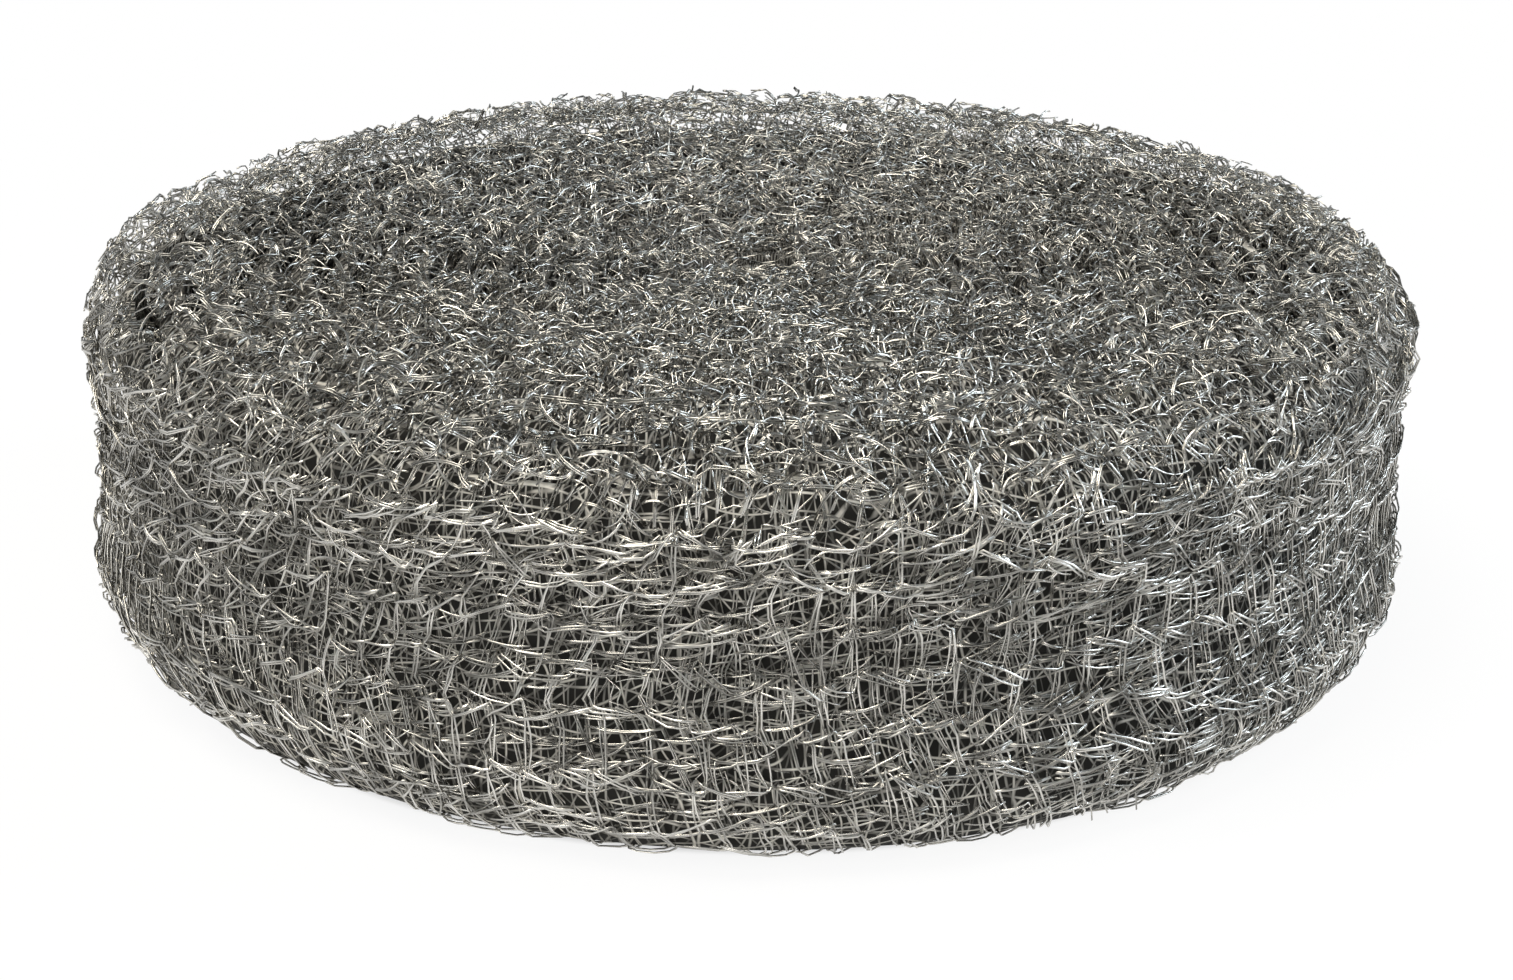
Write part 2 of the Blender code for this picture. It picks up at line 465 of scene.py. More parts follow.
def girth_from(bottom, top, fold):
    """From the middle of the lower fold to the middle of the upper one, over the tube's face."""
    return top - bottom - 2 * fold + math.pi * fold


def half_girth(turns_in):
    fold = thinning(turns_in) * FOLD_THICKNESS / 2
    return girth_from(bottom_level(turns_in), top_level(turns_in), fold)


def drift(along, across, kind):
    """A smooth random field over the unrolled tape, near the kind's own size."""
    chance = np.random.default_rng(kind.seed)
    total = np.zeros_like(along)
    for _ in range(DRIFT_WAVES):
        heading = chance.uniform(0, 2 * math.pi)
        pace = 2 * math.pi / kind.wavelength * chance.uniform(*DRIFT_PACES)
        phase = chance.uniform(0, 2 * math.pi)
        total += np.sin(pace * (along * math.cos(heading) + across * math.sin(heading)) + phase)
    return kind.size * total * math.sqrt(2 / DRIFT_WAVES)


def on_tape(length, around, off):
    """Points in space and outward directions, for places along the tape, round its tube and off it."""
    past_end = np.minimum(length, 0.0) / (2 * math.pi * ROLL_RADIUS)
    turns_in = np.interp(length, LENGTH_TABLE, TURN_TABLE) + past_end
    bottom = bottom_level(turns_in)
    top = top_level(turns_in)
    fold = thinning(turns_in) * FOLD_THICKNESS / 2
    half = girth_from(bottom, top, fold)
    share = np.mod(around, 1.0)
    side = np.where(share < 0.5, 1.0, -1.0)
    climbed = np.where(share < 0.5, share, 1 - share) * 2 * half
    low_bend = np.clip(climbed / fold, 0, math.pi / 2)
    high_bend = np.clip((half - climbed) / fold, 0, math.pi / 2)
    bend = np.minimum(low_bend, high_bend)
    lower = low_bend < high_bend
    height = np.where(
        bend >= math.pi / 2,
        bottom + fold + climbed - math.pi * fold / 2,
        np.where(lower, bottom + fold * (1 - np.cos(bend)), top - fold * (1 - np.cos(bend))),
    )
    facing_up = np.where(lower, -np.cos(bend), np.cos(bend))
    facing_out = side * np.sin(bend)
    height = height + off * facing_up
    lean = 1 - BOW_STRAIGHTENING * bow(turns_in)
    reach = tape_radius(turns_in) * (1 - lean * tuck(height) / ROLL_RADIUS) + side * fold * np.sin(bend)
    reach = reach + off * facing_out
    angle = tape_angle(turns_in)
    out = np.stack([np.cos(angle), np.sin(angle)], -1)
    points = np.concatenate([out * reach[..., None] + (CENTRE_X, CENTRE_Y), height[..., None]], -1)
    facing = np.concatenate([out * facing_out[..., None], facing_up[..., None]], -1)
    return points, facing


def unit(vectors):
    return vectors / (np.linalg.norm(vectors, axis=-1, keepdims=True) + NEARLY_ZERO)


def courses(knit):
    """Each course's wire as a row of places on the tape, with the unevenness of a soft knit."""
    chance = np.random.default_rng(knit.seed)
    pattern = np.array(knit.stitch)
    first_row = math.ceil(length_at(knit.turns[0]) / COURSE)
    last_row = math.floor(length_at(knit.turns[1]) / COURSE)
    rows = np.arange(first_row, last_row)
    wales = np.arange(*knit.wales)
    spots = len(pattern)
    around = np.tile((wales[:, None] + pattern[None, :, 0]).ravel() / WALES, (len(rows), 1))
    along = np.tile(pattern[:, 1], len(wales))[None, :] + rows[:, None] + around
    off = np.tile(pattern[:, 2] * RELIEF, (len(rows), len(wales)))
    # every arc has its own bulge; the arc that crosses from one stitch to the next has one for both
    crossing = chance.standard_normal((2, len(rows), len(wales) + 1))
    heads = chance.standard_normal((2, len(rows), len(wales)))
    before = np.repeat(crossing[:, :, :-1], spots, 2)
    after = np.repeat(crossing[:, :, 1:], spots, 2)
    middle = np.repeat(heads, spots, 2)
    place = np.tile(pattern[:, 0], len(wales))
    arc = np.where(place < 0, before, np.where(place < 0.5, middle, after))
    bulge = arc * np.tile(pattern[:, 3], len(wales))
    legs = chance.standard_normal((len(rows), len(wales), 2))
    leg = np.where(place < 0.25, np.repeat(legs[..., 0], spots, 1), np.repeat(legs[..., 1], spots, 1))
    slant = SLANT * leg * np.tile(pattern[:, 1] * (1 - pattern[:, 3]), len(wales))
    length = along * COURSE
    turns_in = np.interp(length, LENGTH_TABLE, TURN_TABLE)
    girth = 2 * half_girth(turns_in)
    over = around * girth
    share = np.minimum(around, 1 - around) * 2
    climbed = share * girth / 2
    loose = LOOSE_LOW + (LOOSE_HIGH - LOOSE_LOW) * grown(share, LOOSE_FROM, LOOSE_OVER)
    low_part = np.minimum(climbed, LEAN_HEIGHT)
    high_part = np.maximum(climbed - LEAN_HEIGHT, 0)
    high_lean = LEAN_HIGH + LEAN_HIGH_SWING * np.cos(tape_angle(turns_in))
    length = length - LEAN_LOW * low_part - high_lean * high_part
    length = length + drift(length, over, ALONG_DRIFT) + loose * drift(length, over, ALONG_FINE_DRIFT)
    length = length + COURSE_SHIFT * chance.standard_normal((len(rows), 1)) + ARC_BULGE * loose * bulge[0]
    stray = drift(length, over, UP_DRIFT) + loose * drift(length, over, UP_FINE_DRIFT)
    around = around + (stray + COURSE_CLIMB * chance.standard_normal((len(rows), 1)) + slant) / girth
    off = off + drift(length, over, OFF_DRIFT) + loose * drift(length, over, OFF_FINE_DRIFT)
    off = np.minimum(off + ARC_LIFT * loose * np.abs(bulge[1]), MOST_RELIEF)
    length = length + POINT_STRAY * chance.standard_normal(length.shape)
    around = around + POINT_STRAY * chance.standard_normal(length.shape) / girth
    off = off + POINT_STRAY * chance.standard_normal(length.shape)
    return length, around, off, girth


def knitted(knit):
    """The knit's courses as wires, each course as one wire or as two side by side."""
    length, around, off, girth = courses(knit)
    if knit.strands == 1:
        return [on_tape(length, around, off)]
    over = around * girth
    share = np.minimum(np.mod(around, 1), 1 - np.mod(around, 1)) * 2
    gap = STRAND_GAP + (CLOSE_GAP - STRAND_GAP) * grown(share, CLOSE_FROM, CLOSE_OVER)
    step = gap / 2 * (1 + drift(length, over, STRAND_DRIFT))
    return [
        on_tape(length + sign * step, around + sign * step / girth, off + sign * WIRE_RADIUS)
        for sign in (-1, 1)
    ]


def tube_rings(points, facing, radius):
    """A ring of corners round every point, with a flat side turned outwards, which shows smoother."""
    ahead = np.empty_like(points)
    ahead[:, 1:-1] = points[:, 2:] - points[:, :-2]
    ahead[:, 0] = points[:, 1] - points[:, 0]
    ahead[:, -1] = points[:, -1] - points[:, -2]
    ahead = unit(ahead)
    beside = unit(np.cross(ahead, facing))
    upward = np.cross(beside, ahead)
    turn = (np.arange(WIRE_SIDES) + 0.5) * 2 * math.pi / WIRE_SIDES
    spoke = np.cos(turn)[:, None] * upward[:, :, None, :] + np.sin(turn)[:, None] * beside[:, :, None, :]
    rings = points[:, :, None, :] + radius * spoke
    rings[..., 2] = np.maximum(rings[..., 2], FLOOR_CLEARANCE)
    return rings


def new_object(name, data):
    made = bpy.data.objects.new(name, data)
    bpy.context.scene.collection.objects.link(made)
    return made


def wire_mesh(name, bundles, radius=WIRE_RADIUS):
    """One mesh of closed tubes along every row of points in the bundles."""
    corners = []
    walls = []
    caps = []
    base = 0
    for points, facing in bundles:
        rings = tube_rings(points, facing, radius)
        count = rings.size // 3
        index = base + np.arange(count).reshape(rings.shape[:3])
        ahead = np.roll(index, -1, axis=2)
        quad = np.stack([index[:, :-1], ahead[:, :-1], ahead[:, 1:], index[:, 1:]], -1)
        walls.append(quad.reshape(-1, 4))
        caps.append(index[:, 0, ::-1])
        caps.append(index[:, -1, :])
        corners.append(rings.reshape(-1, 3))
        base += count
    corners = np.concatenate(corners)
    walls = np.concatenate(walls)
    caps = np.concatenate(caps)
    mesh = bpy.data.meshes.new(name)
    mesh.vertices.add(len(corners))
    mesh.vertices.foreach_set("co", corners.astype(np.float32).ravel())
    mesh.loops.add(walls.size + caps.size)
    mesh.loops.foreach_set("vertex_index", np.concatenate([walls.ravel(), caps.ravel()]).astype(np.int32))
    mesh.polygons.add(len(walls) + len(caps))
    starts = np.concatenate([np.arange(len(walls)) * 4, walls.size + np.arange(len(caps)) * WIRE_SIDES])
    mesh.polygons.foreach_set("loop_start", starts.astype(np.int32))
    mesh.update(calc_edges=True)
    mesh.shade_smooth()
    print(f"{name}: {2 * len(walls) + len(caps) * (WIRE_SIDES - 2)} triangles")
    return new_object(name, mesh)


def bent_wires(anchor, facing, ahead, heading, tilt, curve, reach, doubled, gap, spots):
    """Smooth arcs of wire through their anchors, some of them doubled.

    Heading is the way an arc runs on the face, and tilt is how far it lies over: 0 stands up off the face.
    """
    beside = np.cross(facing, ahead)
    run = np.cos(heading)[:, None] * ahead + np.sin(heading)[:, None] * beside
    bend = np.cross(run, facing) * np.sin(tilt)[:, None] + facing * np.cos(tilt)[:, None]
    sweep = np.minimum(reach / curve, MOST_SWEEP)
    steps = np.linspace(-1, 1, spots)[None, :] * sweep[:, None]
    # the middle stands as far above the anchor as the ends lie below it
    rise = (np.cos(steps) - 0.5 - 0.5 * np.cos(sweep)[:, None]) * curve[:, None]
    forward = np.sin(steps) * curve[:, None]
    points = anchor[:, None, :] + forward[..., None] * run[:, None, :] + rise[..., None] * bend[:, None, :]
    outward = np.repeat(facing[:, None, :], spots, 1)
    twins = int(len(anchor) * doubled)
    shift = gap * np.cross(run, bend)[:twins, None, :]
    return np.concatenate([points, points[:twins] + shift]), np.concatenate([outward, outward[:twins]])


def either_way(tilt, chance):
    """Lays each arc over to one side or the other."""
    return tilt * chance.choice([-1, 1], len(tilt))


def top_places(count, radii, angles, chance):
    """Places spread evenly over part of the roll's top, a little below the folds.

    Gives each one's anchor, facing and the way ahead along the tape.
    """
    radius = np.sqrt(chance.uniform(radii[0] ** 2, radii[1] ** 2, count))
    angle = chance.uniform(*angles, count)
    turns_in = turns_at(radius)
    level = top_level(turns_in)
    fall = top_level(turns_in + SLOPE_STEP) - level
    slope = fall / (wound_radius(turns_in + SLOPE_STEP) - wound_radius(turns_in))
    out = np.stack([np.cos(angle), np.sin(angle), np.zeros(count)], -1)
    ahead = np.stack([-np.sin(angle), np.cos(angle), np.zeros(count)], -1)
    facing = unit(np.array([0, 0, 1.0]) - out * slope[:, None])
    anchor = out * radius[:, None] + np.array([CENTRE_X, CENTRE_Y, 0])
    anchor[:, 2] = level - TANGLE_DEPTH * chance.uniform(0, 1, count) ** CROWDING
    return anchor, facing, ahead


def turn_share(place):
    """How far round from the free end a place is, as a share of a turn."""
    return np.mod((np.arctan2(place[..., 1], place[..., 0]) - FREE_END_ANGLE) / (2 * math.pi), 1)


def tape_length(anchor):
    """How far along the tape a place on the top is, on whichever turn is nearest."""
    place = anchor - (CENTRE_X, CENTRE_Y, 0)
    turns_in = turns_at(np.hypot(place[:, 0], place[:, 1]))
    share = turn_share(place)
    return np.interp(np.round(turns_in - share) + share, TURN_TABLE, LENGTH_TABLE)


def ahead_on_tape(length, around):
    """The way along the tape at these places on it."""
    ahead = on_tape(length + AHEAD_STEP, around, 0.0)[0] - on_tape(length - AHEAD_STEP, around, 0.0)[0]
    return unit(ahead)


def kept_under(points):
    """Holds loose wires within the roll's own outline: under its top and inside its shoulder."""
    place = points - (CENTRE_X, CENTRE_Y, 0)
    radius = np.hypot(place[..., 0], place[..., 1])
    front = np.clip(-place[..., 1] / radius, 0, 1) * grown(radius, FRONT_RISE_FROM, FRONT_RISE_OVER)
    ceiling = top_level(turns_at(radius)) + TANGLE_RISE + FRONT_RISE * front
    height = np.minimum(points[..., 2], ceiling + KEPT_OUTSIDE * (points[..., 2] - ceiling))
    outermost = turn_share(place)
    lean = 1 - BOW_STRAIGHTENING * bow(outermost)
    widest = tape_radius(outermost) * (1 - lean * tuck(height) / ROLL_RADIUS) + SIDE_ROOM
    widest = widest + FRONT_RISE * front * grown(height, SHOULDER_FROM, SHOULDER_OVER)
    inward = (np.minimum(radius, widest + KEPT_OUTSIDE * (radius - widest)) / radius)[..., None]
    return np.concatenate([place[..., :2] * inward, height[..., None]], -1) + (CENTRE_X, CENTRE_Y, 0)


def top_arcs(patch):
    """Long bent wires that lie clear on top of all the others."""
    chance = np.random.default_rng(patch.seed)
    anchor, facing, ahead = top_places(patch.count, patch.radii, (0, 2 * math.pi), chance)
    anchor[:, 2] += TANGLE_DEPTH * chance.uniform(*TOP_RAISED, patch.count)
    heading = chance.uniform(0, math.pi, patch.count)
    tilt = either_way(chance.uniform(*TOP_ARC.tilt, patch.count), chance)
    curve = chance.uniform(*TOP_ARC.curve, patch.count)
    reach = curve * chance.uniform(*TOP_ARC.reach, patch.count)
    points, outward = bent_wires(anchor, facing, ahead, heading, tilt, curve, reach,
                                 patch.doubled, CLOSE_GAP, TOP_ARC.points)
    return kept_under(points), outward


def front_arcs(patch):
    """Smooth loose arcs of wire that cross over the upper folds in front and dip between them."""
    chance = np.random.default_rng(patch.seed)
    anchor, facing, ahead = top_places(patch.count, patch.radii, (math.pi, 2 * math.pi), chance)
    heading = chance.uniform(0, math.pi, patch.count)
    tilt = either_way(chance.uniform(*FRONT_ARC.tilt, patch.count), chance)
    curve = chance.uniform(*FRONT_ARC.curve, patch.count)
    reach = chance.uniform(*FRONT_ARC.reach, patch.count)
    points, outward = bent_wires(anchor, facing, ahead, heading, tilt, curve, reach,
                                 patch.doubled, CLOSE_GAP, FRONT_ARC.points)
    return kept_under(points), outward


def back_arcs(patch):
    """Short loose arcs at the back, slanting one way and the other in columns, as the stitches there do."""
    chance = np.random.default_rng(patch.seed)
    anchor, facing, ahead = top_places(patch.count, patch.radii, (0, math.pi), chance)
    column = np.sign(np.sin(math.pi * tape_length(anchor) / COLUMN))
    heading = chance.normal(*BACK_HEADING, patch.count) * column
    tilt = chance.uniform(*BACK_ARC.tilt, patch.count) * column
    curve = chance.uniform(*BACK_ARC.curve, patch.count)
    reach = chance.uniform(*BACK_ARC.reach, patch.count)
    points, outward = bent_wires(anchor, facing, ahead, heading, tilt, curve, reach,
                                 patch.doubled, CLOSE_GAP, BACK_ARC.points)
    return kept_under(points), outward


def rim_loops(patch):
    """Larger smooth loops of wire round the rim and down its shoulder, most of them doubled."""
    chance = np.random.default_rng(patch.seed)
    on_top = int(RIM_ON_TOP * patch.count)
    at_side = patch.count - on_top
    anchor, facing, ahead = top_places(on_top, patch.radii, (0, 2 * math.pi), chance)
    anchor[:, 2] += RIM_LIFT
    length = chance.uniform(0, length_at(1.0), at_side)
    around = RIM_SIDE_TOP - RIM_SIDE_DEPTH * chance.uniform(0, 1, at_side) ** CROWDING
    side_anchor, side_facing = on_tape(length, around, chance.uniform(*RIM_SIDE_OFF, at_side))
    side_ahead = ahead_on_tape(length, RIM_SIDE_MIDDLE)
    top_heading = chance.uniform(-math.pi, math.pi, patch.count)
    side_heading = chance.normal(*RIM_SIDE_HEADING, patch.count)
    heading = np.where(np.arange(patch.count) < on_top, top_heading, side_heading)
    tilt = either_way(chance.uniform(*RIM_LOOP.tilt, patch.count), chance)
    curve = chance.uniform(*RIM_LOOP.curve, patch.count)
    reach = np.minimum(curve * chance.uniform(*RIM_LOOP.reach, patch.count), RIM_MOST_REACH)
    points, outward = bent_wires(
        np.concatenate([anchor, side_anchor]), np.concatenate([facing, side_facing]),
        np.concatenate([ahead, side_ahead]), heading, tilt, curve, reach,
        patch.doubled, CLOSE_GAP, RIM_LOOP.points)
    return kept_under(points), outward


def wall_arcs(stretch):
    """Nearly straight wires between the tape's two faces, along the tape or up it like the knit there."""
    chance = np.random.default_rng(stretch.seed)
    count = stretch.count
    length = chance.uniform(length_at(stretch.turns[0]), length_at(stretch.turns[1]), count)
    around = chance.uniform(*WALL_AROUND, count)
    anchor, facing = on_tape(length, around, WALL_OFF - chance.uniform(0.0, stretch.depth, count))
    lying = chance.uniform(0, 1, count) < WALL_LYING
    lying_heading = chance.normal(*WALL_LYING_HEADING, count)
    climbing_heading = chance.normal(*WALL_CLIMBING_HEADING, count)
    heading = np.where(lying, lying_heading, climbing_heading)
    tilt = either_way(chance.uniform(*WALL_ARC.tilt, count), chance)
    curve = chance.uniform(*WALL_ARC.curve, count)
    reach = chance.uniform(*WALL_ARC.reach, count)
    ahead = ahead_on_tape(length, around)
    return bent_wires(anchor, facing, ahead, heading, tilt, curve, reach, 0, STRAND_GAP, WALL_ARC.points)


def sagging_rungs(stretch):
    """Longer doubled wires along the tape that sag a little in the middle, where the knit is wide."""
    chance = np.random.default_rng(stretch.seed)
    count = stretch.count
    length = chance.uniform(length_at(stretch.turns[0]), length_at(stretch.turns[1]), count)
    around = chance.uniform(*RUNG_AROUND, count)
    anchor, facing = on_tape(length, around, RUNG_OFF - chance.uniform(0.0, stretch.depth, count))
    heading = chance.normal(*RUNG_HEADING, count)
    tilt = chance.uniform(*SAGGING_RUNG.tilt, count)
    curve = chance.uniform(*SAGGING_RUNG.curve, count)
    reach = chance.uniform(*SAGGING_RUNG.reach, count)
    ahead = ahead_on_tape(length, around)
    points, outward = bent_wires(anchor, facing, ahead, heading, tilt, curve, reach,
                                 1, STRAND_GAP, SAGGING_RUNG.points)
    return kept_under(points), outward


def painted_shade_strip(name, first_turn, last_turn, rise, top, thickness, inward):
    """One closed strip of painted shade, wound within the tape, where the wires are too deep to tell apart.

    Top gives its upper level at a turn. It stands upright, or leans inwards until its top is this share of
    the way to the next turn.
    """
    places = []
    place = first_turn
    while place < last_turn:
        places.append(place)
        stations = MOST_STATIONS * wound_radius(place) / ROLL_RADIUS
        place += 1 / np.clip(stations, FEWEST_STATIONS, MOST_STATIONS)
    turns_in = np.array(places)
    bottom = bottom_level(turns_in) + rise
    shares = np.array(INSIDE_LEVELS)
    half = np.array(INSIDE_WIDTHS) * thickness / 2
    height = bottom[:, None] + (top(turns_in) - bottom)[:, None] * shares[None, :]
    angle = tape_angle(turns_in)
    out = np.stack([np.cos(angle), np.sin(angle)], -1)[:, None, :]
    lean = (1 - BOW_STRAIGHTENING * bow(turns_in))[:, None]
    next_turn = (tape_radius(turns_in) - tape_radius(turns_in + 1))[:, None]
    reach = tape_radius(turns_in)[:, None] - inward * next_turn * shares
    reach = reach * (1 - lean * tuck(height) / ROLL_RADIUS)
    faces = []
    for side in (1, -1):
        flat = out * (reach + side * half)[..., None] + (CENTRE_X, CENTRE_Y)
        faces.append(np.concatenate([flat, height[..., None]], -1))
    rings = np.concatenate([faces[0], faces[1][:, ::-1]], 1)
    count, sides = rings.shape[:2]
    index = np.arange(count * sides).reshape(count, sides)
    ahead = np.roll(index, -1, axis=1)
    quads = np.stack([index[:-1], ahead[:-1], ahead[1:], index[1:]], -1).reshape(-1, 4)
    polygons = quads.tolist()
    polygons.append(index[0, ::-1].tolist())
    polygons.append(index[-1].tolist())
    mesh = bpy.data.meshes.new(name)
    mesh.from_pydata(rings.reshape(-1, 3).tolist(), [], polygons)
    mesh.update()
    mesh.shade_smooth()
    print(f"{name}: {2 * len(quads) + 2 * (sides - 2)} triangles")
    return new_object(name, mesh)


def below_folds(turns_in):
    return top_level(turns_in) - INSIDE_DEPTH


def foot_top(turns_in):
    return np.full_like(turns_in, FOOT_INSIDE_TOP)


def new_material(name):
    """A material with its nodes and links."""
    material = bpy.data.materials.new(name)
    material.use_nodes = True
    return material, material.node_tree.nodes, material.node_tree.links


def smooth_noise(nodes, links, where, scale):
    noise = nodes.new("ShaderNodeTexNoise")
    noise.inputs["Scale"].default_value = scale
    noise.inputs["Detail"].default_value = 0.0
    links.new(where, noise.inputs["Vector"])
    return noise


def map_range(nodes, links, value, source, target):
    """Carries a value from the source's range to the target's, and holds it within that."""
    mapped = nodes.new("ShaderNodeMapRange")
    mapped.inputs["From Min"].default_value = source[0]
    mapped.inputs["From Max"].default_value = source[1]
    mapped.inputs["To Min"].default_value = target[0]
    mapped.inputs["To Max"].default_value = target[1]
    links.new(value, mapped.inputs["Value"])
    return mapped.outputs["Result"]


def colour_ramp(nodes, links, value, low, high, *between):
    """A colour for every value, through stops that are each a position and a colour."""
    ramp = nodes.new("ShaderNodeValToRGB")
    elements = ramp.color_ramp.elements
    for place, (position, colour) in enumerate((low, high)):
        elements[place].position = position
        elements[place].color = (*colour, 1)
    for position, colour in between:
        elements.new(position).color = (*colour, 1)
    links.new(value, ramp.inputs["Fac"])
    return ramp.outputs["Color"]


def maths(nodes, links, operation, first, second):
    """A maths node's result. Each of its two inputs is a number or another node's output."""
    node = nodes.new("ShaderNodeMath")
    node.operation = operation
    for place, value in enumerate((first, second)):
        if isinstance(value, bpy.types.NodeSocket):
            links.new(value, node.inputs[place])
        else:
            node.inputs[place].default_value = value
    return node.outputs["Value"]


def steel_material():
    """Drawn stainless wire: darker and lighter patches, partly random tone and partly painted shade and
    highlight, and a gloss that varies along the wire.
    """
    material, nodes, links = new_material("wire_steel")
    shader = nodes["Principled BSDF"]
    shader.inputs["Metallic"].default_value = 1.0
    where = nodes.new("ShaderNodeTexCoord").outputs["Object"]
    patches = smooth_noise(nodes, links, where, STEEL_PATCH_SCALE)
    low, high = STEEL_PATCH_EDGES
    # The dark patches are partly painted shade, the bright ones partly painted highlight
    tint = colour_ramp(nodes, links, patches.outputs["Fac"], (low, STEEL_DARK), (high, STEEL_BRIGHT))
    links.new(tint, shader.inputs["Base Color"])
    gloss = smooth_noise(nodes, links, where, STEEL_GLOSS_SCALE)
    roughness = map_range(nodes, links, gloss.outputs["Fac"], STEEL_GLOSS_EDGES, STEEL_ROUGHNESS)
    links.new(roughness, shader.inputs["Roughness"])
    return material


def deep_lines(nodes, links, where, flat, family):
    """One family of thin wandering lines, which fade and come back in patches that are painted glints."""
    round_lines, up_lines, width, light, fineness = family
    wander = smooth_noise(nodes, links, where, fineness)
    shift = nodes.new("ShaderNodeVectorMath")
    shift.operation = "MULTIPLY_ADD"
    links.new(wander.outputs["Color"], shift.inputs[0])
    shift.inputs[1].default_value = (DEEP_WANDER, DEEP_WANDER, 0.0)
    links.new(flat, shift.inputs[2])
    across = nodes.new("ShaderNodeVectorMath")
    across.operation = "DOT_PRODUCT"
    links.new(shift.outputs["Vector"], across.inputs[0])
    across.inputs[1].default_value = (round_lines, up_lines, 0.0)
    away = maths(nodes, links, "PINGPONG", across.outputs["Value"], 0.5)
    line = map_range(nodes, links, away, (width * 1.5, width * 0.5), (0.0, light))
    patch = smooth_noise(nodes, links, where, DEEP_GLINT_FINENESS * fineness)
    glinted = map_range(nodes, links, patch.outputs["Fac"], DEEP_GLINT_EDGES, (DEEP_BETWEEN_GLINTS, 1.0))
    return maths(nodes, links, "MULTIPLY", line, glinted)


def painted_shade_material():
    """Nearly black painted shade, crossed by families of thin wandering lines, as wires too deep to tell
    apart look.
    """
    material, nodes, links = new_material("painted_shade_tape")
    shader = nodes["Principled BSDF"]
    shader.inputs["Roughness"].default_value = DEEP_ROUGHNESS
    shader.inputs["Specular IOR Level"].default_value = DEEP_SPECULAR
    where = nodes.new("ShaderNodeTexCoord").outputs["Object"]
    part = nodes.new("ShaderNodeSeparateXYZ")
    links.new(where, part.inputs["Vector"])
    angle = maths(nodes, links, "ARCTAN2", part.outputs["Y"], part.outputs["X"])
    flat = nodes.new("ShaderNodeCombineXYZ")
    links.new(maths(nodes, links, "MULTIPLY", angle, DEEP_ROUND_RADIUS), flat.inputs["X"])
    links.new(part.outputs["Z"], flat.inputs["Y"])
    level = DEEP_PAINTED_SHADE
    for family in DEEP_WIRES:
        lines = deep_lines(nodes, links, where, flat.outputs["Vector"], family)
        level = maths(nodes, links, "MAXIMUM", level, lines)
    tint = nodes.new("ShaderNodeVectorMath")
    tint.operation = "SCALE"
    tint.inputs[0].default_value = DEEP_TINT
    links.new(level, tint.inputs["Scale"])
    links.new(tint.outputs["Vector"], shader.inputs["Base Color"])
    return material


def finish_piece(piece, material):
    piece.data.materials.append(material)
    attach(piece, "root")


def build_knit(wire):
    outer_face = wire_mesh("outer_face", knitted(OUTER_FACE), FRONT_WIRE_RADIUS)
    finish_piece(outer_face, wire)
    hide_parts("mesh_roll")
    finish_piece(wire_mesh("outer_back", knitted(OUTER_BACK)), wire)
    finish_piece(wire_mesh("second_turn", knitted(SECOND_TURN)), wire)
    finish_piece(wire_mesh("rim_folds", knitted(RIM_FOLDS)), wire)
    finish_piece(wire_mesh("dish_folds", knitted(DISH_FOLDS)), wire)
    finish_piece(wire_mesh("lower_folds", knitted(LOWER_FOLDS_OUT) + knitted(LOWER_FOLDS_IN)), wire)


def build_loose_wires(wire):
    front = [front_arcs(patch) for patch in FRONT_TANGLE]
    finish_piece(wire_mesh("front_tangle", front), wire)
    back = [back_arcs(patch) for patch in BACK_TANGLE]
    finish_piece(wire_mesh("back_tangle", back, FINE_WIRE_RADIUS), wire)
    finish_piece(wire_mesh("top_tangle", [top_arcs(TOP_TANGLE)], TOP_WIRE_RADIUS), wire)
    finish_piece(wire_mesh("rim_loops", [rim_loops(RIM_LOOPS)]), wire)
    between = [wall_arcs(stretch) for stretch in WALL_ARCS]
    between += [sagging_rungs(stretch) for stretch in SAGGING_RUNGS]
    finish_piece(wire_mesh("wall_tangle", between), wire)


def build_painted_shade():
    # Painted shade: dark strips with painted wires, within the tape and low in the outermost turn
    inside = painted_shade_material()
    deep = painted_shade_strip("painted_shade_tape", INSIDE_FROM, TURNS, INSIDE_RISE, below_folds, INSIDE_THICKNESS, 0)
    finish_piece(deep, inside)
    # Painted shade low in the outermost turn, which darkens the fringe at the foot
    foot = painted_shade_strip("painted_shade_foot", FOOT_INSIDE_FROM, INSIDE_FROM, FOOT_INSIDE_RISE, foot_top,
                        FOOT_INSIDE_THICKNESS, FOOT_INSIDE_LEAN)
    finish_piece(foot, inside)


def grey(level):
    return level, level, level


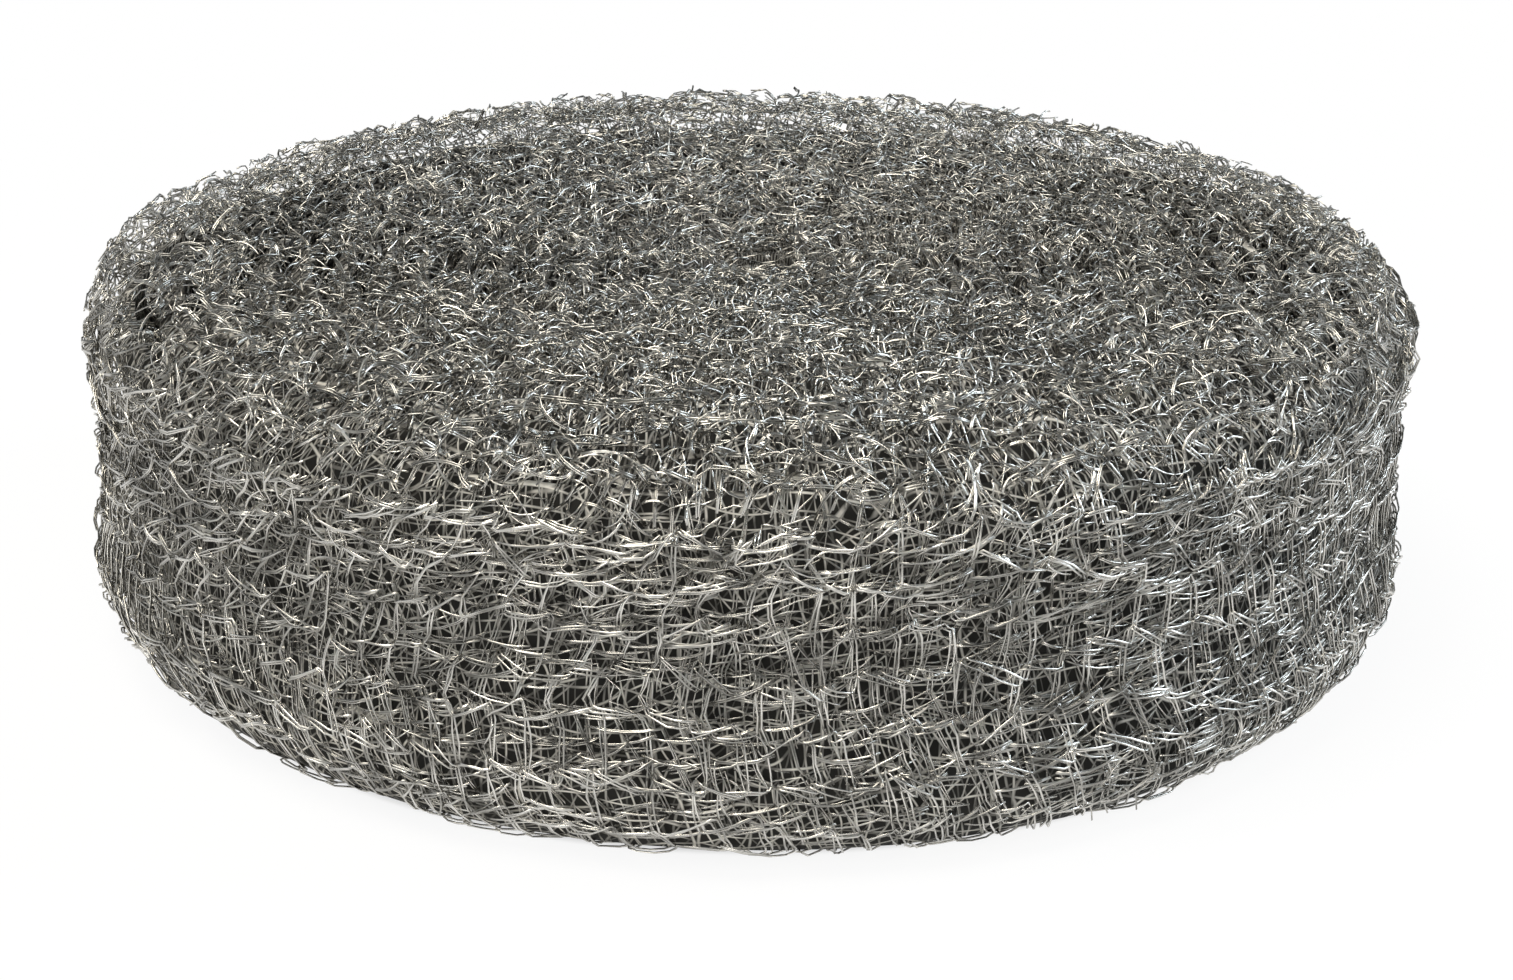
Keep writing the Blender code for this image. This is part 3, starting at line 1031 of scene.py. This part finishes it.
def floor_material():
    """Matt, with a painted shadow that makes it dark under the roll. To the camera and to reflections it
    turns white away from the roll.
    """
    material, nodes, links = new_material("white_floor")
    shader = nodes["Principled BSDF"]
    shader.inputs["Roughness"].default_value = FLOOR_ROUGHNESS
    shader.inputs["Specular IOR Level"].default_value = 0.0
    distance = nodes.new("ShaderNodeVectorMath")
    distance.operation = "LENGTH"
    links.new(nodes.new("ShaderNodeTexCoord").outputs["Object"], distance.inputs[0])
    away = distance.outputs["Value"]
    # The dark disc under the roll is a painted shadow
    under = colour_ramp(
        nodes, links, away, (FLOOR_SHADOW_WITHIN, grey(FLOOR_PAINTED_SHADOW)), (FLOOR_NEAR, grey(FLOOR_OPEN)))
    links.new(under, shader.inputs["Base Color"])
    rays = nodes.new("ShaderNodeLightPath")
    seen = maths(nodes, links, "MAXIMUM", rays.outputs["Is Camera Ray"], rays.outputs["Is Glossy Ray"])
    spread = colour_ramp(
        nodes, links, away, (FLOOR_SHADOW_WITHIN, grey(0)), (FLOOR_WHITE_BEYOND, grey(1)),
        (FLOOR_NEAR, grey(FLOOR_NEAR_WHITE)))
    mix = nodes.new("ShaderNodeMixShader")
    links.new(maths(nodes, links, "MULTIPLY", seen, spread), mix.inputs["Fac"])
    links.new(shader.outputs["BSDF"], mix.inputs[1])
    links.new(nodes.new("ShaderNodeEmission").outputs["Emission"], mix.inputs[2])
    links.new(mix.outputs["Shader"], nodes["Material Output"].inputs["Surface"])
    return material


def build_floor():
    mesh = bpy.data.meshes.new("floor")
    half = FLOOR_SIZE / 2
    corners = [(-half, -half, 0), (half, -half, 0), (half, half, 0), (-half, half, 0)]
    mesh.from_pydata(corners, [], [(0, 1, 2, 3)])
    floor = new_object("floor", mesh)
    floor.data.materials.append(floor_material())


def build_world():
    """Plain soft light all round, stronger low down."""
    world = bpy.data.worlds.new("studio")
    bpy.context.scene.world = world
    world.use_nodes = True
    nodes = world.node_tree.nodes
    links = world.node_tree.links
    part = nodes.new("ShaderNodeSeparateXYZ")
    links.new(nodes.new("ShaderNodeTexCoord").outputs["Generated"], part.inputs["Vector"])
    strength = map_range(nodes, links, part.outputs["Z"], WORLD_EDGES, (WORLD_LOW, WORLD_HIGH))
    links.new(strength, nodes["Background"].inputs["Strength"])
    nodes["Background"].inputs["Color"].default_value = (*WORLD_COLOUR, 1)


def build_lamp(lamp):
    data = bpy.data.lights.new(lamp.name, "AREA")
    data.color = lamp.colour
    data.shape = "SQUARE"
    data.size = lamp.size
    data.energy = lamp.power
    made = new_object(lamp.name, data)
    made.location = lamp.place
    made.rotation_euler = (Vector(LAMP_AIM) - Vector(lamp.place)).to_track_quat("-Z", "Y").to_euler()


def build_camera():
    forward = Vector((
        math.sin(CAMERA_YAW) * math.cos(CAMERA_PITCH),
        math.cos(CAMERA_YAW) * math.cos(CAMERA_PITCH),
        -math.sin(CAMERA_PITCH),
    ))
    level = Vector((math.cos(CAMERA_YAW), -math.sin(CAMERA_YAW), 0))
    above = level.cross(forward)
    right = level * math.cos(CAMERA_ROLL) + above * math.sin(CAMERA_ROLL)
    up = above * math.cos(CAMERA_ROLL) - level * math.sin(CAMERA_ROLL)
    data = bpy.data.cameras.new("camera")
    data.sensor_width = SENSOR_WIDTH
    data.lens = FOCAL_PIXELS / PHOTO_WIDTH * SENSOR_WIDTH
    camera = new_object("camera", data)
    place = Matrix((right, up, -forward)).transposed().to_4x4()
    place.translation = (
        0,
        -CAMERA_DISTANCE * math.cos(CAMERA_ELEVATION),
        AIM_HEIGHT + CAMERA_DISTANCE * math.sin(CAMERA_ELEVATION),
    )
    camera.matrix_world = place
    bpy.context.scene.camera = camera


build_camera()
build_world()
for lamp in LAMPS:
    build_lamp(lamp)
build_floor()
steel_wire = steel_material()
build_knit(steel_wire)
build_loose_wires(steel_wire)
build_painted_shade()
bpy.context.scene.view_settings.view_transform = "Standard"
